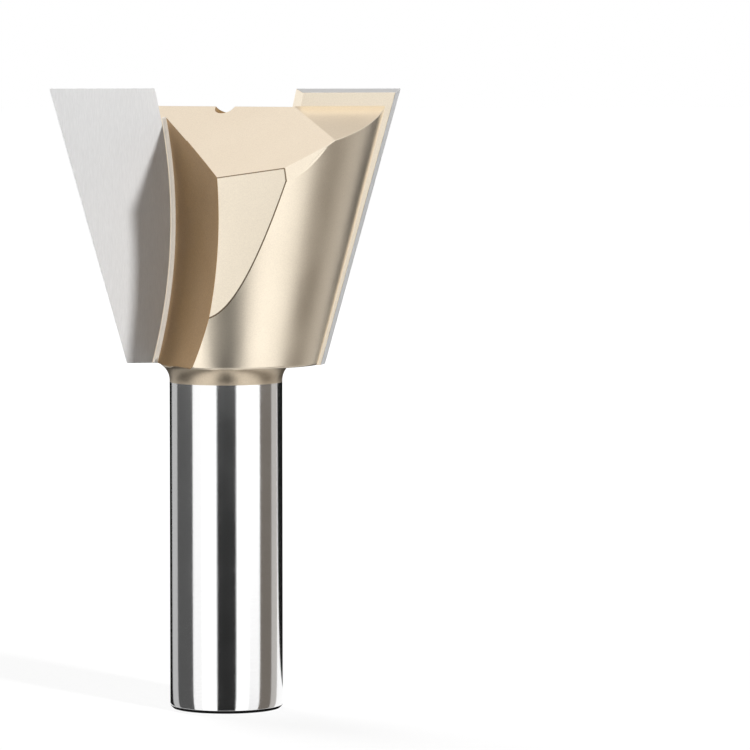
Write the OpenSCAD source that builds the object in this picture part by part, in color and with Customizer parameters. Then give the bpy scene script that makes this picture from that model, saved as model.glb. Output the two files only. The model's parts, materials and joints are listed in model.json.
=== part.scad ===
// Dovetail cutter: a router bit with one steel body and two brazed carbide tips.
// Millimetres. The origin is the centre of the shank's end face and +Z runs to the cutting end.
// Both tips lie along X. The tip on the -X side faces -Y, the one on the +X side faces +Y.

/* [Shank] */
// Diameter of the round shank that a collet grips
shank_d = 12.7; // [12:0.1:14]
// Height of the head's underside above the shank's end
head_z = 39.1; // [34:0.1:50]
// Chamfer at the shank's end
shank_chamfer = 0.5; // [0.2:0.05:1]
// Radius of the fillet between shank and head
neck_fillet = 2.1; // [1.6:0.1:2.4]
// Depth by which the head's underside cuts the fillet short
neck_cut = 0.25; // [0.2:0.05:0.5]

/* [Cutting edges] */
// Diameter over the cutting edges at the top end
cut_d = 39.4; // [37:0.1:41]
// Height of the cutting edges
cut_h = 30.9; // [29:0.1:32]
// Angle of the cutting edges to the axis
dovetail_angle = 15.6; // [14.6:0.1:16]
// Distance of each rake face behind the axis
rake_offset = 2.3; // [1.8:0.05:2.6]
// Thickness of a tip
tip_t = 2.4; // [2:0.05:2.8]
// Relief angle behind the slanted cutting edge
side_relief = 20; // [18:0.5:24]
// Relief angle behind the top edge
end_relief = 10; // [4:0.5:15]
// Slant of a tip's inner end over its thickness
inner_slant = 0.5; // [0:0.05:0.8]

/* [Head] */
// Radius of the head at its underside
head_r = 10.79; // [10:0.01:10.9]
// Angle of the head's cone to the axis
head_angle = 14; // [13:0.1:14.5]
// Height of the tips above the head's ridge
tip_above = 1.9; // [1:0.05:3]
// Chamfer around the head's underside
rim_chamfer = 0.2; // [0.1:0.05:0.5]
// Slope of the end faces that fall from the ridge
end_slope = 32.6; // [30:0.1:34]
// Turn of the ridge away from the plane of the tips
ridge_turn = 34.6; // [33:0.1:36.5]
// Reach of each end face past the axis, which lets the ridge sink slightly
ridge_lap = 0.12; // [0.06:0.02:0.3]
// Slope of the end faces behind the tips
back_slope = 21.8; // [16:0.1:25]
// Distance of each front flat from the axis at the gullet's middle
flat_dist = 12.57; // [12:0.01:13]
// Turn of each front flat away from the plane of the tips
flat_turn = 21.2; // [18:0.1:25]
// Outward lean of each front flat
flat_lean = 2; // [0:0.1:4]
// Distance of each corner flat from the axis, at the ridge's height
corner_dist = 15.64; // [15.5:0.02:15.8]
// Turn of each corner flat away from the plane of the tips
corner_turn = 12; // [11:0.1:13]
// Inward lean of each corner flat
corner_lean = 2.4; // [2:0.1:3]
// Diameter of the centre-drilled hole in the end
centre_d = 2.3; // [1.5:0.1:3]
// Depth of the centre-drilled hole's straight part
centre_depth = 1.6; // [1:0.1:3]

/* [Gullets] */
// Radius of the disc cutter that leaves a gullet's wall
gullet_r = 62.95; // [60:0.05:66]
// Least distance of a gullet's wall from the axis, along X
gullet_web = 5.47; // [5:0.01:6]
// Height of the gullet's deepest point above the shank's end
gullet_z = 55.3; // [53:0.1:57]
// Slant of a gullet's wall away from square
gullet_slant = 10.7; // [8:0.1:13]
// Radius of the fillet between a gullet's floor and wall
gullet_fillet = 0.45; // [0.2:0.05:0.7]
// Width of the flat seam of braze between a gullet's fillet and the tip
seam_w = 0.1; // [0.06:0.02:0.2]

/* [Hidden] */
$fn = 180;

shank_r = shank_d / 2;
cut_r = cut_d / 2;
neck_z = head_z - neck_fillet + neck_cut;
tip_z = head_z + cut_h;
ridge_z = tip_z - tip_above;
head_top_r = head_r + (ridge_z - head_z) * tan(head_angle);
edge_x_top = sqrt(cut_r * cut_r - rake_offset * rake_offset);
edge_x_low = edge_x_top - cut_h * tan(dovetail_angle);
disc_x = -(gullet_web + gullet_r);
fillet_run = gullet_fillet * tan((90 - gullet_slant) / 2);
tip_disc_r = gullet_r - fillet_run - seam_w;
reach = 60;
far = 2 * reach;
STEEL = [0.80, 0.72, 0.60];
CARBIDE = [0.62, 0.62, 0.63];

// Half turn about the axis, which takes one flute to the other.
module half_turn() {
    rotate([0, 0, 180])
        children();
}

// Outline of the turned blank, from the axis outwards.
module blank_outline() {
    difference() {
        polygon([
            [0, 0],
            [shank_r - shank_chamfer, 0],
            [shank_r, shank_chamfer],
            [shank_r, neck_z],
            [shank_r + neck_fillet, neck_z],
            [shank_r + neck_fillet, head_z],
            [head_r - rim_chamfer, head_z],
            [head_r + rim_chamfer * tan(head_angle), head_z + rim_chamfer],
            [head_top_r, ridge_z],
            [0, ridge_z]
        ]);
        intersection() {
            translate([shank_r + neck_fillet, neck_z])
                circle(r = neck_fillet);
            square([reach, head_z]);
        }
    }
}

// Section of the disc cutter: floor side at zero, wall slanting outwards, rounded in the corner.
module gullet_section() {
    wall_x = gullet_r + reach * tan(gullet_slant);
    fillet_x = gullet_r - fillet_run;
    over = 3 * gullet_fillet;
    difference() {
        polygon([[0, 0], [gullet_r, 0], [wall_x, reach], [0, reach]]);
        difference() {
            polygon([
                [fillet_x, -over],
                [gullet_r + over, -over],
                [fillet_x + over * cos(gullet_slant), gullet_fillet - over * sin(gullet_slant)],
                [fillet_x, gullet_fillet]
            ]);
            translate([fillet_x, gullet_fillet])
                circle(r = gullet_fillet, $fn = 96);
        }
    }
}

// Space swept by the disc cutter in front of the left tip's rake plane.
module gullet() {
    translate([disc_x, rake_offset, gullet_z])
        rotate([90, 0, 0])
            rotate_extrude($fn = 360)
                gullet_section();
}

// Everything beyond a front flat.
module beyond_flat() {
    translate([0, 0, gullet_z])
        rotate([0, 0, -flat_turn])
            translate([0, -flat_dist, 0])
                rotate([flat_lean, 0, 0])
                    translate([-reach, -reach, -(gullet_z - head_z) * 0.9])
                        cube([far, reach, far]);
}

// Everything above an end face that falls from the ridge, except behind the left tip.
module above_end_face() {
    intersection() {
        translate([-reach, rake_offset + tip_t - far, 0])
            cube([far, far, far]);
        translate([0, 0, ridge_z])
            rotate([0, 0, -ridge_turn])
                translate([0, ridge_lap, 0])
                    rotate([end_slope, 0, 0])
                        translate([-reach, -reach, 0])
                            cube([far, far, reach]);
    }
}

// Everything beyond the small flat at the corner of cone, front flat and end face.
module beyond_corner() {
    translate([0, 0, ridge_z])
        rotate([0, 0, corner_turn])
            translate([0, -corner_dist, 0])
                rotate([-corner_lean, 0, 0])
                    translate([-reach, -reach, -(ridge_z - gullet_z)])
                        cube([far, reach, far]);
}

// Everything above the end face behind the right tip.
module above_back_face() {
    translate([0, -(rake_offset + tip_t), ridge_z])
        rotate([back_slope, 0, 0])
            translate([-reach, -reach, 0])
                cube([far, far, reach]);
}

// Slab that holds the left tip, bounded on the inside by its rounded inner end.
module tip_slab() {
    intersection() {
        translate([disc_x, rake_offset, gullet_z])
            rotate([-90, 0, 0])
                cylinder(h = tip_t, r1 = tip_disc_r, r2 = tip_disc_r - inner_slant, $fn = 360);
        translate([-reach, 0, head_z])
            cube([reach, reach, reach]);
    }
}

// The left tip.
module tip() {
    intersection() {
        tip_slab();
        translate([-edge_x_low, rake_offset, head_z])
            rotate([0, -dovetail_angle, 0])
                rotate([0, 0, -side_relief])
                    translate([0, -reach / 2, -reach])
                        cube([far, far, far]);
        translate([0, rake_offset, tip_z])
            rotate([-end_relief, 0, 0])
                translate([-reach, -reach, -far])
                    cube([far, far, far]);
    }
}

// Hole left by the centre drill in the end of the blank.
module centre_hole() {
    point_d = centre_d / 4;
    point_h = (centre_d - point_d) / 2 / tan(60);
    translate([0, 0, ridge_z - centre_depth])
        cylinder(d = centre_d, h = reach, $fn = 64);
    translate([0, 0, ridge_z - centre_depth - point_h])
        cylinder(d1 = point_d, d2 = centre_d, h = point_h, $fn = 64);
}

// All that is milled for one flute.
module flute_cuts() {
    gullet();
    beyond_flat();
    above_end_face();
    beyond_corner();
    above_back_face();
    tip_slab();
}

module cutter_body() {
    color(STEEL)
        difference() {
            rotate_extrude()
                blank_outline();
            flute_cuts();
            half_turn()
                flute_cuts();
            centre_hole();
        }
}

module carbide_tip_left() {
    color(CARBIDE)
        tip();
}

module carbide_tip_right() {
    color(CARBIDE)
        half_turn()
            tip();
}

cutter_body();
carbide_tip_left();
carbide_tip_right();
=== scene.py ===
"""Dovetail cutter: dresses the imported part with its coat, bare shank and carbide tips."""

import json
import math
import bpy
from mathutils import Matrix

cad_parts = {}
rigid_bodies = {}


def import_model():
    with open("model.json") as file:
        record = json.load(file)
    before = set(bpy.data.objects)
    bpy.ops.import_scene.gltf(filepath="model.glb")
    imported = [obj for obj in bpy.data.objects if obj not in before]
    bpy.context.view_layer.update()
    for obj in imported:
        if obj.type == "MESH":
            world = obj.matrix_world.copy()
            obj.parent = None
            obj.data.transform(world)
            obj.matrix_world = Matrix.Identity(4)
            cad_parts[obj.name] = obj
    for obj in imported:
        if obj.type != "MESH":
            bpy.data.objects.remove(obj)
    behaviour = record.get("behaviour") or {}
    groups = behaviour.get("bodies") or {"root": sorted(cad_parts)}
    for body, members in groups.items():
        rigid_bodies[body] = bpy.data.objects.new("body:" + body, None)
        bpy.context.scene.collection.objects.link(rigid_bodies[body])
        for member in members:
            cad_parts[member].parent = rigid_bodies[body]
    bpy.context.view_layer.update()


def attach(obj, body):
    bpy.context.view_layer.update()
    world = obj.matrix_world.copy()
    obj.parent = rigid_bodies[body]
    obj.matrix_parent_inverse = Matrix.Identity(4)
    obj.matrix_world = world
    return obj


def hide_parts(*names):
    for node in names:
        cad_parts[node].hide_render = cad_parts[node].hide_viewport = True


bl_info = {
    "name": "Dovetail Cutter",
    "version": (1, 0, 0),
    "blender": (4, 5, 0),
    "location": "View3D > Sidebar > Cutter",
    "description": "Builds a two-flute dovetail cutter with brazed tips on its packed frame",
    "category": "Add Mesh",
}

import bmesh
import bpy
from bpy.props import FloatProperty, FloatVectorProperty, PointerProperty
from mathutils import Matrix, Vector

for leftover in list(bpy.data.objects):
    bpy.data.objects.remove(leftover)
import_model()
MM = 0.001

# Far more than the cutter's size: how far a milling cut reaches, in millimetres.
BEYOND = 60
# The disc cutter and the tip seat: inner radius of the swept ring in millimetres, half its sweep
# in radians, and the steps along it.
RING_INNER = 30
RING_SWEEP = 0.48
RING_STEPS = 96


def length(name, description, millimetres):
    """A length that the sidebar shows in scene units."""
    return FloatProperty(
        name=name, description=description, default=millimetres * MM, unit="LENGTH", precision=5
    )


def angle(name, description, degrees):
    """An angle that the sidebar shows in degrees."""
    return FloatProperty(
        name=name, description=description, default=math.radians(degrees), subtype="ANGLE"
    )


def colour(name, description, value):
    """A linear colour with a picker."""
    return FloatVectorProperty(
        name=name, description=description, default=value, size=3, subtype="COLOR", min=0, max=1
    )


class CutterSizes(bpy.types.PropertyGroup):
    """Sizes of the body and its tips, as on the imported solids."""

    shank_d: length("Shank diameter", "Diameter that a collet grips", 12.7)
    shank_chamfer: length("Shank chamfer", "Chamfer at the shank's end", 0.5)
    head_z: length("Head height", "Height of the head's underside", 39.1)
    neck_fillet: length("Neck fillet", "Radius between shank and head", 2.1)
    neck_cut: length("Neck cut", "Depth by which the underside cuts the fillet short", 0.25)
    coat_z: length("Coat line", "Height at which the coat begins", 37.05)
    head_r: length("Head radius", "Radius of the head at its underside", 10.79)
    head_angle: angle("Head angle", "Angle of the head's cone to the axis", 14)
    rim_chamfer: length("Rim chamfer", "Chamfer around the head's underside", 0.2)
    cut_d: length("Cutting diameter", "Diameter over the cutting edges at the end", 39.4)
    cut_h: length("Cutting height", "Height of the cutting edges", 30.9)
    dovetail: angle("Dovetail angle", "Angle of the cutting edges to the axis", 15.6)
    tip_above: length("Tip above ridge", "Height of the tips above the ridge", 1.9)
    tip_t: length("Tip thickness", "Thickness of a tip", 2.4)
    rake_offset: length("Rake offset", "Distance of a rake face behind the axis", 2.3)
    side_relief: angle("Side relief", "Relief behind the slanted edge", 20)
    end_relief: angle("End relief", "Relief behind the top edge", 10)
    inner_slant: length("Inner slant", "Slant of a tip's inner end over its thickness", 0.5)
    end_slope: angle("End slope", "Slope of the faces that fall from the ridge", 32.6)
    ridge_turn: angle("Ridge turn", "Turn of the ridge from the plane of the tips", 34.6)
    ridge_lap: length("Ridge lap", "Reach of each end face past the axis", 0.12)
    back_slope: angle("Back slope", "Slope of the end faces behind the tips", 21.8)
    flat_dist: length("Flat distance", "Distance of a front flat from the axis", 12.57)
    flat_turn: angle("Flat turn", "Turn of a front flat from the plane of the tips", 21.2)
    flat_lean: angle("Flat lean", "Outward lean of a front flat", 2)
    corner_dist: length("Corner distance", "Distance of a corner flat at the ridge", 15.64)
    corner_turn: angle("Corner turn", "Turn of a corner flat from the plane of the tips", 12)
    corner_lean: angle("Corner lean", "Inward lean of a corner flat", 2.4)
    centre_d: length("Centre hole", "Diameter of the centre-drilled hole", 2.3)
    centre_depth: length("Centre depth", "Depth of the hole's straight part", 1.6)
    gullet_r: length("Gullet radius", "Radius of the disc that leaves a gullet's wall", 62.95)
    gullet_web: length("Gullet web", "Least distance of a gullet's wall from the axis", 5.47)
    gullet_z: length("Gullet height", "Height of the gullet's deepest point", 55.3)
    gullet_slant: angle("Gullet slant", "Slant of a gullet's wall away from square", 10.7)
    gullet_fillet: length("Gullet fillet", "Radius between a gullet's floor and wall", 0.45)
    seam_w: length("Seam width", "Flat seam of braze between a gullet's fillet and the tip", 0.1)
    edge_break: length("Edge break", "Width of the broken edges on the body", 0.08)
    tip_break: length("Tip edge break", "Width of the broken edges on the tips", 0.03)


class CutterFinish(bpy.types.PropertyGroup):
    """Colours of the finishes; the gullet, edge and neck colours are painted shade."""

    coat: colour("Coat", "Champagne coat on the head", (0.96, 0.85, 0.69))
    steel: colour("Steel", "Bare ground shank", (0.92, 0.92, 0.92))
    # Painted shade: the dark brown gullet colour stands in for the shade on the gullet walls and in
    # the centre hole; their higher roughness is real.
    gullet: colour("Gullet", "Coat over the rough-milled gullet walls", (0.43, 0.275, 0.13))
    braze: colour("Braze", "Silver braze along the tips", (0.98, 0.92, 0.84))
    carbide: colour("Carbide", "Ground tungsten carbide", (0.75, 0.75, 0.75))
    # Painted shade: the dark edge colour draws a shade line along the front flats' broken edges.
    edge: colour("Edge", "Coat on the broken edges", (0.26, 0.19, 0.12))
    # Painted shade: the darker neck colour stands in for the shade under the head.
    neck: colour("Neck", "Thin, darker coat on the neck", (0.64, 0.54, 0.41))


class Form:
    """The sizes in millimetres and degrees, with what follows from them."""

    def __init__(self, sizes):
        for key in sizes.__annotations__:
            value = getattr(sizes, key)
            is_angle = sizes.bl_rna.properties[key].subtype == "ANGLE"
            setattr(self, key, value if is_angle else value / MM)
        self.shank_r = self.shank_d / 2
        self.neck_z = self.head_z - self.neck_fillet + self.neck_cut
        self.tip_z = self.head_z + self.cut_h
        self.ridge_z = self.tip_z - self.tip_above
        self.head_top_r = self.head_r + (self.ridge_z - self.head_z) * math.tan(self.head_angle)
        self.edge_x_top = math.sqrt((self.cut_d / 2) ** 2 - self.rake_offset ** 2)
        self.edge_x_low = self.edge_x_top - self.cut_h * math.tan(self.dovetail)
        self.disc_x = -(self.gullet_web + self.gullet_r)
        self.fillet_run = self.gullet_fillet * math.tan((math.pi / 2 - self.gullet_slant) / 2)
        self.tip_disc_r = self.gullet_r - self.fillet_run - self.seam_w


def form():
    return Form(bpy.context.scene.cutter_sizes)


def finish_colours():
    return bpy.context.scene.cutter_finish


def turn(radians, axis):
    return Matrix.Rotation(radians, 4, axis)


def shift(x, y, z):
    return Matrix.Translation((x, y, z))


def new_object(name, mesh):
    obj = bpy.data.objects.new(name, mesh)
    bpy.context.collection.objects.link(obj)
    return obj


def swept(name, outline, start, stop, steps, closed):
    """A solid from a closed outline of (radius, height) points, swept about Z."""
    bm = bmesh.new()
    rings = []
    count = steps if closed else steps + 1
    for i in range(count):
        a = start + (stop - start) * i / steps
        ca, sa = math.cos(a), math.sin(a)
        rings.append([bm.verts.new((r * ca, r * sa, z)) for r, z in outline])
    n = len(outline)
    for i in range(steps):
        here, there = rings[i], rings[(i + 1) % count]
        for j in range(n):
            k = (j + 1) % n
            bm.faces.new((here[j], there[j], there[k], here[k]))
    if not closed:
        bm.faces.new(list(reversed(rings[0])))
        bm.faces.new(rings[-1])
    bmesh.ops.remove_doubles(bm, verts=bm.verts, dist=1e-6)
    bmesh.ops.dissolve_degenerate(bm, edges=bm.edges, dist=1e-7)
    bmesh.ops.recalc_face_normals(bm, faces=bm.faces)
    mesh = bpy.data.meshes.new(name)
    bm.to_mesh(mesh)
    bm.free()
    return mesh


def block(name, low, high, place, keep=None):
    """A box from corner to corner, placed by a matrix, and cut to y below keep if that is given."""
    bm = bmesh.new()
    bmesh.ops.create_cube(bm, size=1)
    size = Vector(high) - Vector(low)
    middle = (Vector(high) + Vector(low)) / 2
    bm.transform(place @ Matrix.Translation(middle) @ Matrix.Diagonal((*size, 1)))
    if keep is not None:
        geometry = bm.verts[:] + bm.edges[:] + bm.faces[:]
        cut = bmesh.ops.bisect_plane(
            bm, geom=geometry, plane_co=(0, keep, 0), plane_no=(0, 1, 0), clear_outer=True
        )
        rim = [e for e in cut["geom_cut"] if isinstance(e, bmesh.types.BMEdge)]
        bmesh.ops.contextual_create(bm, geom=rim)
    bmesh.ops.recalc_face_normals(bm, faces=bm.faces)
    mesh = bpy.data.meshes.new(name)
    bm.to_mesh(mesh)
    bm.free()
    return mesh


def arc(cx, cy, radius, start, stop, steps):
    return [
        (
            cx + radius * math.cos(start + (stop - start) * i / steps),
            cy + radius * math.sin(start + (stop - start) * i / steps),
        )
        for i in range(steps + 1)
    ]


def blank_mesh(f):
    """The turned blank before milling."""
    cx = f.shank_r + f.neck_fillet
    rise = math.asin((f.head_z - f.neck_z) / f.neck_fillet)
    outline = [(0, 0), (f.shank_r - f.shank_chamfer, 0), (f.shank_r, f.shank_chamfer)]
    outline += arc(cx, f.neck_z, f.neck_fillet, math.pi, math.pi - rise, 10)
    outline += [(f.head_r - f.rim_chamfer, f.head_z)]
    outline += [(f.head_r + f.rim_chamfer * math.tan(f.head_angle), f.head_z + f.rim_chamfer)]
    outline += [(f.head_top_r, f.ridge_z), (0, f.ridge_z)]
    return swept("blank", outline, 0, 2 * math.pi, 240, True)


def gullet_mesh(f):
    """The space that the disc cutter sweeps in front of the left tip's rake plane."""
    reach = 36
    fillet_x = f.gullet_r - f.fillet_run
    wall_x = f.gullet_r + reach * math.tan(f.gullet_slant)
    fillet = arc(fillet_x, f.gullet_fillet, f.gullet_fillet, -math.pi / 2, -f.gullet_slant, 6)
    outline = [(RING_INNER, 0), *fillet, (wall_x, reach), (RING_INNER, reach)]
    mesh = swept("gullet", outline, -RING_SWEEP, RING_SWEEP, RING_STEPS, False)
    mesh.transform(shift(f.disc_x, f.rake_offset, f.gullet_z) @ turn(math.pi / 2, "X"))
    return mesh


def seat_mesh(f):
    """The slab of the left tip's seat, which starts a little in front of the rake plane."""
    lead = 0.15
    drop = 0.02
    low, high = f.tip_disc_r, f.tip_disc_r - f.inner_slant
    outline = [(RING_INNER, -lead), (low, -lead), (low, 0), (high, f.tip_t), (RING_INNER, f.tip_t)]
    mesh = swept("seat", outline, -RING_SWEEP, RING_SWEEP, RING_STEPS, False)
    mesh.transform(shift(f.disc_x, f.rake_offset, f.gullet_z) @ turn(-math.pi / 2, "X"))
    bm = bmesh.new()
    bm.from_mesh(mesh)
    geometry = bm.verts[:] + bm.edges[:] + bm.faces[:]
    cut = bmesh.ops.bisect_plane(
        bm, geom=geometry, plane_co=(0, 0, f.head_z - drop), plane_no=(0, 0, 1), clear_inner=True
    )
    rim = [e for e in cut["geom_cut"] if isinstance(e, bmesh.types.BMEdge)]
    bmesh.ops.contextual_create(bm, geom=rim)
    bmesh.ops.recalc_face_normals(bm, faces=bm.faces)
    bm.to_mesh(mesh)
    bm.free()
    return mesh


def cutter_meshes(f):
    """Everything milled away for one flute."""
    big = BEYOND
    flat_drop = 14.5
    flat = (
        shift(0, 0, f.gullet_z)
        @ turn(-f.flat_turn, "Z")
        @ shift(0, -f.flat_dist, 0)
        @ turn(f.flat_lean, "X")
    )
    end = (
        shift(0, 0, f.ridge_z)
        @ turn(-f.ridge_turn, "Z")
        @ shift(0, f.ridge_lap, 0)
        @ turn(f.end_slope, "X")
    )
    corner = (
        shift(0, 0, f.ridge_z)
        @ turn(f.corner_turn, "Z")
        @ shift(0, -f.corner_dist, 0)
        @ turn(-f.corner_lean, "X")
    )
    back = shift(0, -(f.rake_offset + f.tip_t), f.ridge_z) @ turn(f.back_slope, "X")
    return [
        gullet_mesh(f),
        block("front_flat", (-big, -big, -flat_drop), (big, 0, big), flat),
        block("end_face", (-big, -big, 0), (big, big, big), end, f.rake_offset + f.tip_t),
        block("corner_flat", (-big, -big, f.gullet_z - f.ridge_z), (big, 0, big), corner),
        block("back_face", (-big, -big, 0), (big, big, big), back),
        seat_mesh(f),
    ]


def centre_mesh(f):
    r = f.centre_d / 2
    point = r / 4
    low = f.ridge_z - f.centre_depth
    drop = (r - point) / math.tan(math.radians(60))
    top = f.ridge_z + 5
    outline = [(0, low - drop), (point, low - drop), (r, low), (r, top), (0, top)]
    return swept("centre_hole", outline, 0, 2 * math.pi, 48, True)


def milling_tree(cutters):
    """Geometry nodes that mill both flutes: each cut is taken twice, half a turn apart."""
    tree = bpy.data.node_groups.new("Mill Both Flutes", "GeometryNodeTree")
    face = tree.interface
    face.new_socket("Blank", in_out="INPUT", socket_type="NodeSocketGeometry")
    face.new_socket("Turn", in_out="INPUT", socket_type="NodeSocketFloat").default_value = math.pi
    face.new_socket("Finish", in_out="INPUT", socket_type="NodeSocketMaterial")
    for obj in cutters:
        face.new_socket(obj.name, in_out="INPUT", socket_type="NodeSocketObject")
    face.new_socket("Milled", in_out="OUTPUT", socket_type="NodeSocketGeometry")
    nodes, links = tree.nodes, tree.links
    start = nodes.new("NodeGroupInput")
    finish = nodes.new("NodeGroupOutput")
    mill = nodes.new("GeometryNodeMeshBoolean")
    mill.operation = "DIFFERENCE"
    mill.solver = "EXACT"
    mill.inputs["Self Intersection"].default_value = True
    half = nodes.new("FunctionNodeAxisAngleToRotation")
    half.inputs["Axis"].default_value = (0, 0, 1)
    links.new(start.outputs["Turn"], half.inputs["Angle"])
    links.new(start.outputs["Blank"], mill.inputs["Mesh 1"])
    for obj in cutters:
        source = nodes.new("GeometryNodeObjectInfo")
        links.new(start.outputs[obj.name], source.inputs["Object"])
        links.new(source.outputs["Geometry"], mill.inputs["Mesh 2"])
        if obj.name != "centre_hole":
            turned = nodes.new("GeometryNodeTransform")
            links.new(half.outputs["Rotation"], turned.inputs["Rotation"])
            links.new(source.outputs["Geometry"], turned.inputs["Geometry"])
            links.new(turned.outputs["Geometry"], mill.inputs["Mesh 2"])
    realize = nodes.new("GeometryNodeRealizeInstances")
    dress = nodes.new("GeometryNodeSetMaterial")
    links.new(start.outputs["Finish"], dress.inputs["Material"])
    links.new(mill.outputs["Mesh"], realize.inputs["Geometry"])
    links.new(realize.outputs["Geometry"], dress.inputs["Geometry"])
    links.new(dress.outputs["Geometry"], finish.inputs["Milled"])
    return tree


def socket_id(tree, name):
    """The identifier by which a modifier knows a tree's named input."""
    return next(s.identifier for s in tree.interface.items_tree if s.name == name)


def plain_mesh(obj, tree, values, name):
    """The result of a node tree on an object, as a mesh of its own."""
    modifier = obj.modifiers.new(tree.name, "NODES")
    modifier.node_group = tree
    for key, value in values.items():
        modifier[socket_id(tree, key)] = value
    graph = bpy.context.evaluated_depsgraph_get()
    mesh = bpy.data.meshes.new_from_object(obj.evaluated_get(graph))
    obj.modifiers.remove(modifier)
    mesh.name = name
    return mesh


def break_edges(mesh, width, sharp):
    """Merges the mesh, rounds its sharp edges a little and keeps every crease crisp."""
    bm = bmesh.new()
    bm.from_mesh(mesh)
    bmesh.ops.remove_doubles(bm, verts=bm.verts, dist=0.004)
    bmesh.ops.dissolve_degenerate(bm, edges=bm.edges, dist=0.002)
    bmesh.ops.dissolve_limit(
        bm, angle_limit=math.radians(0.05), verts=bm.verts, edges=bm.edges, delimit=set()
    )
    edges = [e for e in bm.edges if len(e.link_faces) == 2 and e.calc_face_angle(0) > sharp]
    rounded = bmesh.ops.bevel(
        bm,
        geom=edges,
        offset=width,
        offset_type="OFFSET",
        segments=2,
        profile=0.5,
        affect="EDGES",
        clamp_overlap=False,
        miter_outer="SHARP",
        miter_inner="SHARP",
        loop_slide=True,
        material=-1,
    )
    strips = set(rounded["faces"])
    for face in bm.faces:
        face.smooth = True
        face.material_index = int(face in strips)
    for edge in bm.edges:
        crease = len(edge.link_faces) != 2 or edge.calc_face_angle(0) > math.radians(7)
        edge.smooth = not crease or any(face in strips for face in edge.link_faces)
    bm.to_mesh(mesh)
    bm.free()
    mesh.update()


def split_at(mesh, height):
    """Cuts the faces along a level line, so that a finish can end there."""
    bm = bmesh.new()
    bm.from_mesh(mesh)
    geometry = bm.verts[:] + bm.edges[:] + bm.faces[:]
    bmesh.ops.bisect_plane(bm, geom=geometry, plane_co=(0, 0, height), plane_no=(0, 0, 1))
    bm.to_mesh(mesh)
    bm.free()


def weighted(mesh):
    """The mesh with normals that follow its larger faces."""
    obj = new_object("weighted", mesh)
    modifier = obj.modifiers.new("Weighted", "WEIGHTED_NORMAL")
    modifier.mode = "FACE_AREA"
    modifier.weight = 50
    modifier.keep_sharp = True
    graph = bpy.context.evaluated_depsgraph_get()
    result = bpy.data.meshes.new_from_object(obj.evaluated_get(graph))
    bpy.data.objects.remove(obj)
    return result


def smooth_by_angle(mesh, limit):
    mesh.polygons.foreach_set("use_smooth", [True] * len(mesh.polygons))
    mesh.set_sharp_from_angle(angle=limit)


def grain_group():
    """Fine grain in object space: a value and a bumped normal, shared by the metal finishes."""
    name = "Metal Grain"
    if name in bpy.data.node_groups:
        return bpy.data.node_groups[name]
    tree = bpy.data.node_groups.new(name, "ShaderNodeTree")
    face = tree.interface
    stretch = face.new_socket("Stretch", in_out="INPUT", socket_type="NodeSocketVector")
    stretch.default_value = (1, 1, 1)
    face.new_socket("Scale", in_out="INPUT", socket_type="NodeSocketFloat").default_value = 8000
    face.new_socket("Strength", in_out="INPUT", socket_type="NodeSocketFloat").default_value = 0.2
    face.new_socket("Depth", in_out="INPUT", socket_type="NodeSocketFloat").default_value = 0.00002
    face.new_socket("Grain", in_out="OUTPUT", socket_type="NodeSocketFloat")
    face.new_socket("Cloud", in_out="OUTPUT", socket_type="NodeSocketFloat")
    face.new_socket("Normal", in_out="OUTPUT", socket_type="NodeSocketVector")
    nodes, links = tree.nodes, tree.links
    start = nodes.new("NodeGroupInput")
    finish = nodes.new("NodeGroupOutput")
    where = nodes.new("ShaderNodeTexCoord")
    scaled = nodes.new("ShaderNodeVectorMath")
    scaled.operation = "MULTIPLY"
    links.new(where.outputs["Object"], scaled.inputs[0])
    links.new(start.outputs["Stretch"], scaled.inputs[1])
    fine = nodes.new("ShaderNodeTexNoise")
    fine.inputs["Detail"].default_value = 3
    fine.inputs["Roughness"].default_value = 0.6
    links.new(scaled.outputs["Vector"], fine.inputs["Vector"])
    links.new(start.outputs["Scale"], fine.inputs["Scale"])
    cloud = nodes.new("ShaderNodeTexNoise")
    cloud.inputs["Scale"].default_value = 130
    cloud.inputs["Detail"].default_value = 4
    links.new(where.outputs["Object"], cloud.inputs["Vector"])
    bump = nodes.new("ShaderNodeBump")
    links.new(start.outputs["Strength"], bump.inputs["Strength"])
    links.new(start.outputs["Depth"], bump.inputs["Distance"])
    links.new(fine.outputs["Fac"], bump.inputs["Height"])
    links.new(fine.outputs["Fac"], finish.inputs["Grain"])
    links.new(cloud.outputs["Fac"], finish.inputs["Cloud"])
    links.new(bump.outputs["Normal"], finish.inputs["Normal"])
    return tree


def metal(name, base, variation, rough, stretch, scale, strength, depth, metallic=1.0):
    """A bare or coated metal: colour and roughness follow the grain and slow clouds."""
    material = bpy.data.materials.new(name)
    material.use_nodes = True
    nodes, links = material.node_tree.nodes, material.node_tree.links
    shader = nodes["Principled BSDF"]
    shader.inputs["Metallic"].default_value = metallic
    grain = nodes.new("ShaderNodeGroup")
    grain.node_tree = grain_group()
    grain.inputs["Stretch"].default_value = stretch
    grain.inputs["Scale"].default_value = scale
    grain.inputs["Strength"].default_value = strength
    grain.inputs["Depth"].default_value = depth
    tint = nodes.new("ShaderNodeValToRGB")
    low = [c * (1 - variation) for c in base]
    high = [min(1, c * (1 + variation)) for c in base]
    tint.color_ramp.elements[0].position = 0.3
    tint.color_ramp.elements[0].color = (*low, 1)
    tint.color_ramp.elements[1].position = 0.7
    tint.color_ramp.elements[1].color = (*high, 1)
    links.new(grain.outputs["Grain"], tint.inputs["Fac"])
    links.new(tint.outputs["Color"], shader.inputs["Base Color"])
    spread = nodes.new("ShaderNodeMapRange")
    spread.inputs["From Min"].default_value = 0.3
    spread.inputs["From Max"].default_value = 0.7
    spread.inputs["To Min"].default_value = rough[0]
    spread.inputs["To Max"].default_value = rough[1]
    links.new(grain.outputs["Cloud"], spread.inputs["Value"])
    links.new(spread.outputs["Result"], shader.inputs["Roughness"])
    links.new(grain.outputs["Normal"], shader.inputs["Normal"])
    return material


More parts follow.
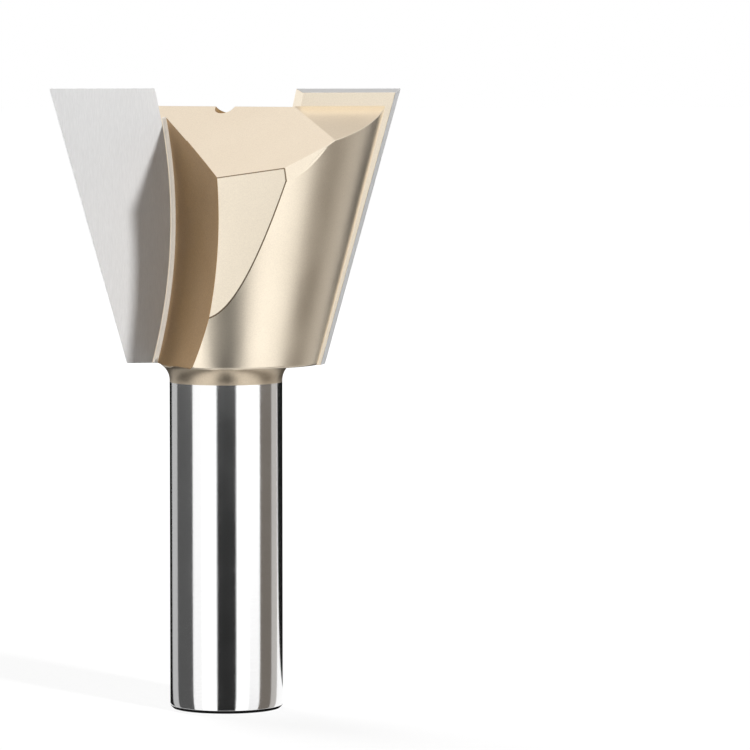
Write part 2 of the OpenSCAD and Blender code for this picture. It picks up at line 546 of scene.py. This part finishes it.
def finishes():
    """The finishes by name, made once."""
    c = finish_colours()
    even = (1, 1, 1)
    rings = (0.1, 0.1, 3)
    ground = (1.6, 1, 0.12)
    # Colour, its variation, least and most roughness, then stretch, scale, strength and depth of
    # the grain. Carbide alone is not metallic.
    table = {
        "champagne_coat": (c.coat, 0.05, (0.30, 0.38), even, 7000, 0.35, 0.00002),
        "ground_steel": (c.steel, 0.03, (0.10, 0.13), rings, 9000, 0.15, 0.00001),
        "ground_carbide": (c.carbide, 0.05, (0.30, 0.38), ground, 9000, 0.22, 0.00001, 0),
        # Painted shade for the gullet walls and the centre hole, with a rougher grain.
        "gullet_coat": (c.gullet, 0.12, (0.36, 0.44), even, 6000, 0.5, 0.00003),
        "silver_braze": (c.braze, 0.02, (0.44, 0.50), even, 4000, 0.02, 0.00001),
        # Painted shade line along the front flats' broken edges.
        "edge_coat": (c.edge, 0.05, (0.30, 0.36), even, 7000, 0.2, 0.00001),
        # Painted shade on the neck under the head.
        "neck_coat": (c.neck, 0.08, (0.30, 0.38), even, 7000, 0.35, 0.00002),
    }
    for name, values in table.items():
        if name not in bpy.data.materials:
            metal(name, *values)
    return {name: bpy.data.materials[name] for name in table}


# The body's finishes and painted shades, and their places in its list of materials.
BODY_FINISHES = (
    "champagne_coat", "ground_steel", "gullet_coat", "silver_braze", "edge_coat", "neck_coat"
)
COAT, STEEL, GULLET_SHADE, BRAZE, EDGE_SHADE, NECK_SHADE = range(len(BODY_FINISHES))
# Millimetres within which the middle of a face counts as lying on a gullet's wall, on the seam
# beside it, and on the edge of a front flat.
WALL_NEAR = 0.05
SEAM_NEAR = 0.12
EDGE_NEAR = 0.12


def face_finish(f, centre, broken):
    """The finish or painted shade of one of the body's faces, from where its middle lies."""
    if centre.z < f.coat_z:
        return STEEL
    # Painted shade: the neck under the head gets the darker neck colour.
    if centre.z < f.head_z - 0.03:
        return NECK_SHADE
    # Painted shade: the centre hole gets the dark gullet colour.
    if math.hypot(centre.x, centre.y) < f.centre_d / 2 + 0.02:
        return GULLET_SHADE
    for side in (1, -1):
        x, y, z = side * centre.x, side * centre.y, centre.z
        out = f.rake_offset - y
        radius = math.hypot(x - f.disc_x, z - f.gullet_z)
        foot = f.gullet_fillet * (1 - math.sin(f.gullet_slant))
        in_front = x < 0 and out > -0.01
        off_wall = radius - f.gullet_r - out * math.tan(f.gullet_slant)
        # Painted shade: faces on a gullet's wall get the dark gullet colour.
        if in_front and out > foot and abs(off_wall) < WALL_NEAR:
            return GULLET_SHADE
        on_seam = f.tip_disc_r - WALL_NEAR < radius < f.gullet_r + SEAM_NEAR
        if in_front and out <= foot and on_seam:
            return BRAZE
        across = x * math.sin(f.flat_turn) + y * math.cos(f.flat_turn) + f.flat_dist
        off_flat = across * math.cos(f.flat_lean) + (z - f.gullet_z) * math.sin(f.flat_lean)
        # Painted shade: broken edges along a front flat get the dark edge colour.
        if broken and abs(off_flat) < EDGE_NEAR:
            return EDGE_SHADE
    return COAT


class CUTTER_OT_body(bpy.types.Operator):
    """Turns the blank, mills both flutes and breaks the edges."""

    bl_idname = "cutter.body"
    bl_label = "Cutter Body"

    def execute(self, context):
        f = form()
        made = finishes()
        blank = new_object("blank", blank_mesh(f))
        cutters = [new_object(m.name, m) for m in [*cutter_meshes(f), centre_mesh(f)]]
        tree = milling_tree(cutters)
        values = {"Finish": made["champagne_coat"], **{obj.name: obj for obj in cutters}}
        mesh = plain_mesh(blank, tree, values, "cutter_body")
        for obj in [blank, *cutters]:
            bpy.data.objects.remove(obj)
        if len(mesh.polygons) < 100:
            raise RuntimeError("the milled body came out empty")
        break_edges(mesh, f.edge_break, math.radians(12))
        split_at(mesh, f.coat_z)
        broken = [p.material_index == 1 for p in mesh.polygons]
        mesh.materials.clear()
        for name in BODY_FINISHES:
            mesh.materials.append(made[name])
        for p in mesh.polygons:
            p.material_index = face_finish(f, p.center, broken[p.index])
        mesh.transform(Matrix.Scale(MM, 4))
        mesh = weighted(mesh)
        mesh.name = "coated_body"
        body = new_object("coated_body", mesh)
        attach(body, "root")
        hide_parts("cutter_body")
        return {"FINISHED"}


def tip_mesh(f):
    """One carbide tip: its outline on the rake plane joined to its outline on the back."""
    steps = 40

    def outline(radius, top, outer_shift):
        points = []
        low = f.head_z
        points.append((-f.edge_x_low + outer_shift, low))
        points.append((-(f.edge_x_low + (top - low) * math.tan(f.dovetail)) + outer_shift, top))
        for i in range(steps + 1):
            z = top + (low - top) * i / steps
            points.append((f.disc_x + math.sqrt(radius ** 2 - (z - f.gullet_z) ** 2), z))
        return points

    sink = f.tip_t * math.tan(f.side_relief) / math.cos(f.dovetail)
    front = outline(f.tip_disc_r, f.tip_z, 0)
    back = outline(
        f.tip_disc_r - f.inner_slant, f.tip_z - f.tip_t * math.tan(f.end_relief), sink
    )
    bm = bmesh.new()
    near = [bm.verts.new((x, f.rake_offset, z)) for x, z in front]
    rear = [bm.verts.new((x, f.rake_offset + f.tip_t, z)) for x, z in back]
    count = len(near)
    bm.faces.new(near).material_index = 0
    bm.faces.new(list(reversed(rear))).material_index = 1
    for i in range(count):
        j = (i + 1) % count
        side = bm.faces.new((near[j], near[i], rear[i], rear[j]))
        side.material_index = 1 if 2 <= i < count - 1 else 0
    bmesh.ops.recalc_face_normals(bm, faces=bm.faces)
    edges = [e for e in bm.edges if e.calc_face_angle(0) > math.radians(25)]
    bmesh.ops.bevel(
        bm, geom=edges, offset=f.tip_break, offset_type="OFFSET", segments=1, profile=0.5,
        affect="EDGES", clamp_overlap=True, material=-1,
    )
    mesh = bpy.data.meshes.new("carbide_tip")
    bm.to_mesh(mesh)
    bm.free()
    return mesh


class CUTTER_OT_tips(bpy.types.Operator):
    """Makes the two brazed carbide tips, half a turn apart."""

    bl_idname = "cutter.tips"
    bl_label = "Carbide Tips"

    def execute(self, context):
        f = form()
        made = finishes()
        for node, angle_value in (("carbide_tip_left", 0), ("carbide_tip_right", math.pi)):
            mesh = tip_mesh(f)
            mesh.materials.append(made["ground_carbide"])
            mesh.materials.append(made["champagne_coat"])
            mesh.transform(turn(angle_value, "Z"))
            mesh.transform(Matrix.Scale(MM, 4))
            smooth_by_angle(mesh, math.radians(20))
            tip = new_object("ground_" + node, mesh)
            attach(tip, "root")
            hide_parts(node)
        return {"FINISHED"}


CAMERA_TURN = math.radians(10)
# Distance in metres of the cards above the cutter.
HIGH_CARD_DISTANCE = 1.2
# Radius in metres at which the floor's cards begin, just outside the shank.
CARD_START = 7.1 * MM


def way(degrees):
    """The level direction at an angle to the right of the camera's side."""
    a = math.radians(degrees) - CAMERA_TURN
    return Vector((math.sin(a), -math.cos(a), 0))


def up(height):
    return Vector((0, 0, height))


def empty_nodes(owner):
    """The nodes and links of a material or world, with nothing in them."""
    owner.use_nodes = True
    owner.node_tree.nodes.clear()
    return owner.node_tree.nodes, owner.node_tree.links


def direct_rays(nodes, links):
    """One for rays from the camera, from a glossy surface and through glass, else zero."""
    seen = nodes.new("ShaderNodeLightPath")
    total = seen.outputs["Is Camera Ray"]
    for ray in ("Is Glossy Ray", "Is Transmission Ray"):
        add = nodes.new("ShaderNodeMath")
        add.operation = "ADD"
        links.new(total, add.inputs[0])
        links.new(seen.outputs[ray], add.inputs[1])
        total = add.outputs[0]
    return total


def blend(nodes, links, share, first, second, out):
    """Mixes two shaders by a share and gives the result to an output node."""
    mix = nodes.new("ShaderNodeMixShader")
    links.new(share, mix.inputs["Fac"])
    links.new(first, mix.inputs[1])
    links.new(second, mix.inputs[2])
    links.new(mix.outputs["Shader"], out.inputs["Surface"])


def floor_material():
    """A pale matt floor with a glow for direct rays, which grows a little with the distance."""
    material = bpy.data.materials.new("pale_floor")
    nodes, links = empty_nodes(material)
    out = nodes.new("ShaderNodeOutputMaterial")
    matt = nodes.new("ShaderNodeBsdfDiffuse")
    matt.inputs["Color"].default_value = (0.75, 0.75, 0.75, 1)
    glow = nodes.new("ShaderNodeEmission")
    glow.inputs["Color"].default_value = (1, 1, 1, 1)
    where = nodes.new("ShaderNodeTexCoord")
    away = nodes.new("ShaderNodeVectorMath")
    away.operation = "LENGTH"
    links.new(where.outputs["Object"], away.inputs[0])
    level = nodes.new("ShaderNodeMapRange")
    level.inputs["From Min"].default_value = 0.05
    level.inputs["From Max"].default_value = 0.55
    level.inputs["To Min"].default_value = 1.36
    level.inputs["To Max"].default_value = 1.67
    links.new(away.outputs["Value"], level.inputs["Value"])
    links.new(level.outputs["Result"], glow.inputs["Strength"])
    share = nodes.new("ShaderNodeMath")
    share.operation = "MULTIPLY"
    share.inputs[1].default_value = 0.6
    links.new(direct_rays(nodes, links), share.inputs[0])
    blend(nodes, links, share.outputs[0], matt.outputs["BSDF"], glow.outputs["Emission"], out)
    return material


def make_floor():
    bm = bmesh.new()
    bmesh.ops.create_grid(bm, x_segments=1, y_segments=1, size=4)
    mesh = bpy.data.meshes.new("floor")
    bm.to_mesh(mesh)
    bm.free()
    mesh.materials.append(floor_material())
    floor = new_object("floor", mesh)


def make_world(scene):
    """A white room to direct rays, which lights the cutter only faintly."""
    scene.world = bpy.data.worlds.new("studio")
    nodes, links = empty_nodes(scene.world)
    out = nodes.new("ShaderNodeOutputWorld")
    shades = []
    for strength in (0.03, 1.0):
        shade = nodes.new("ShaderNodeBackground")
        shade.inputs["Color"].default_value = (1, 1, 1, 1)
        shade.inputs["Strength"].default_value = strength
        shades.append(shade.outputs["Background"])
    blend(nodes, links, direct_rays(nodes, links), *shades, out)


def reflected_only(name, bm, shade):
    """A stage object with an even glow that only reflections show."""
    mesh = bpy.data.meshes.new(name)
    bm.to_mesh(mesh)
    bm.free()
    material = bpy.data.materials.new(name)
    nodes, links = empty_nodes(material)
    glow = nodes.new("ShaderNodeEmission")
    glow.inputs["Color"].default_value = (*shade, 1)
    out = nodes.new("ShaderNodeOutputMaterial")
    links.new(glow.outputs["Emission"], out.inputs["Surface"])
    mesh.materials.append(material)
    obj = new_object(name, mesh)
    obj.visible_camera = False
    obj.visible_shadow = False
    obj.visible_diffuse = False


def card(name, start, stop, line, shade):
    """A card between two angles; each of its edges follows the points that line gives."""
    bm = bmesh.new()
    steps = max(2, int(abs(stop - start) / 3))
    rows = []
    for i in range(steps + 1):
        points = line(start + (stop - start) * i / steps)
        rows.append([bm.verts.new(p) for p in points])
    for a, b in zip(rows, rows[1:]):
        for j in range(len(a) - 1):
            bm.faces.new((a[j], b[j], b[j + 1], a[j + 1]))
    reflected_only(name, bm, shade)


def floor_card(name, start, stop, reach, shade):
    """A card on the floor with a low upturned end; its edges run straight up the shank."""

    def line(degrees):
        foot = way(degrees / 2) * CARD_START + up(0.0004)
        far = foot + way(degrees) * reach
        return [foot, far, far + up(0.02)]

    card(name, start, stop, line, shade)


def high_card(name, start, stop, low, high, shade):
    """A card in the upper air, between two angles of height."""

    def line(degrees):
        points = []
        for i in range(7):
            rise = math.radians(low + (high - low) * i / 6)
            level = way(degrees) * math.cos(rise) * HIGH_CARD_DISTANCE
            points.append(level + up(math.sin(rise) * HIGH_CARD_DISTANCE))
        return points

    card(name, start, stop, line, shade)


def make_cards():
    """Dark flags and pale reflectors on the floor around the shank, a black disc under the foot as
    painted contact shadow, and two cards above.
    """
    for name, start, stop, reach, shade in (
        ("back_flag", -230, -145, 0.85, (0.01, 0.01, 0.01)),
        ("left_reflector", -145, -118, 0.85, (0.50, 0.50, 0.50)),
        ("left_flag", -118, -71, 0.85, (0.09, 0.09, 0.09)),
        ("front_left_reflector", -50, -17.5, 0.85, (1.2, 1.2, 1.2)),
        ("camera_flag", -17.5, 22, 0.70, (0.02, 0.02, 0.02)),
        ("front_right_reflector", 22, 50, 0.85, (1.2, 1.2, 1.2)),
        ("right_flag", 75, 108, 0.85, (0.17, 0.15, 0.13)),
        ("right_reflector", 108, 130, 0.85, (0.50, 0.48, 0.46)),
    ):
        floor_card(name, start, stop, reach, shade)
    # Painted contact shadow: a black disc under the foot, seen only in reflections, darkens the
    # shank's bottom chamfer.
    foot = bmesh.new()
    bmesh.ops.create_circle(foot, cap_ends=True, segments=48, radius=CARD_START)
    foot.transform(shift(0, 0, 0.0002))
    reflected_only("foot_card", foot, (0.01, 0.01, 0.01))
    high_card("high_card", 90, 270, 53, 80, (1.05, 1.02, 1.00))
    high_card("low_card", 90, 270, 25, 53, (0.45, 0.41, 0.37))


def make_lamps(collection):
    """Round area lamps, each at an angle to the side and in height, aimed at the head."""
    for name, size, energy, side, rise, distance in (
        ("key", 0.05, 2.9, 36, 14, 0.6),
        ("top", 0.30, 1.1, 180, 78, 0.8),
        ("back", 0.50, 4.0, 216, 30, 0.9),
    ):
        light = bpy.data.lights.new(name, "AREA")
        light.shape = "DISK"
        light.size = size
        light.energy = energy
        lamp = bpy.data.objects.new(name, light)
        collection.objects.link(lamp)
        rise = math.radians(rise)
        aim = way(side) * math.cos(rise) + up(math.sin(rise))
        lamp.visible_glossy = False
        lamp.location = up(0.055) + aim * distance
        lamp.rotation_euler = aim.to_track_quat("Z", "Y").to_euler()


def make_camera(scene, collection):
    """A long lens that looks slightly down, with the cutter left of its middle."""
    camera = bpy.data.objects.new("camera", bpy.data.cameras.new("camera"))
    collection.objects.link(camera)
    camera.data.sensor_width = 36
    camera.data.lens = 248.3
    camera.data.clip_start = 0.01
    camera.data.clip_end = 50
    pitch = math.radians(3.9)
    aside, back, height = 16.78, 581.1, 77.41
    c, s = math.cos(CAMERA_TURN), math.sin(CAMERA_TURN)
    camera.location = Vector((aside * c - back * s, -aside * s - back * c, height)) * MM
    gaze = Vector((s * math.cos(pitch), c * math.cos(pitch), -math.sin(pitch)))
    camera.rotation_euler = gaze.to_track_quat("-Z", "Y").to_euler()
    scene.camera = camera


class CUTTER_OT_stage(bpy.types.Operator):
    """Sets the floor, the studio's cards and lights, and the camera."""

    bl_idname = "cutter.stage"
    bl_label = "Stage"

    def execute(self, context):
        context.scene.view_settings.view_transform = "Standard"
        make_floor()
        make_world(context.scene)
        make_cards()
        make_lamps(context.collection)
        make_camera(context.scene, context.collection)
        return {"FINISHED"}


class CUTTER_PT_panel(bpy.types.Panel):
    """Lists the cutter's pieces and settings in the sidebar."""

    bl_idname = "CUTTER_PT_panel"
    bl_label = "Dovetail Cutter"
    bl_space_type = "VIEW_3D"
    bl_region_type = "UI"
    bl_category = "Cutter"

    def draw(self, context):
        layout = self.layout
        for operator in (CUTTER_OT_body, CUTTER_OT_tips, CUTTER_OT_stage):
            layout.operator(operator.bl_idname)
        for group in (context.scene.cutter_sizes, context.scene.cutter_finish):
            box = layout.box()
            for key in group.__annotations__:
                box.prop(group, key)


CLASSES = (
    CutterSizes,
    CutterFinish,
    CUTTER_OT_body,
    CUTTER_OT_tips,
    CUTTER_OT_stage,
    CUTTER_PT_panel,
)


def register():
    for cls in CLASSES:
        bpy.utils.register_class(cls)
    bpy.types.Scene.cutter_sizes = PointerProperty(type=CutterSizes)
    bpy.types.Scene.cutter_finish = PointerProperty(type=CutterFinish)


def unregister():
    del bpy.types.Scene.cutter_finish
    del bpy.types.Scene.cutter_sizes
    for cls in reversed(CLASSES):
        bpy.utils.unregister_class(cls)


def main():
    register()
    bpy.ops.cutter.body()
    bpy.ops.cutter.tips()
    bpy.ops.cutter.stage()


if __name__ == "__main__":
    main()
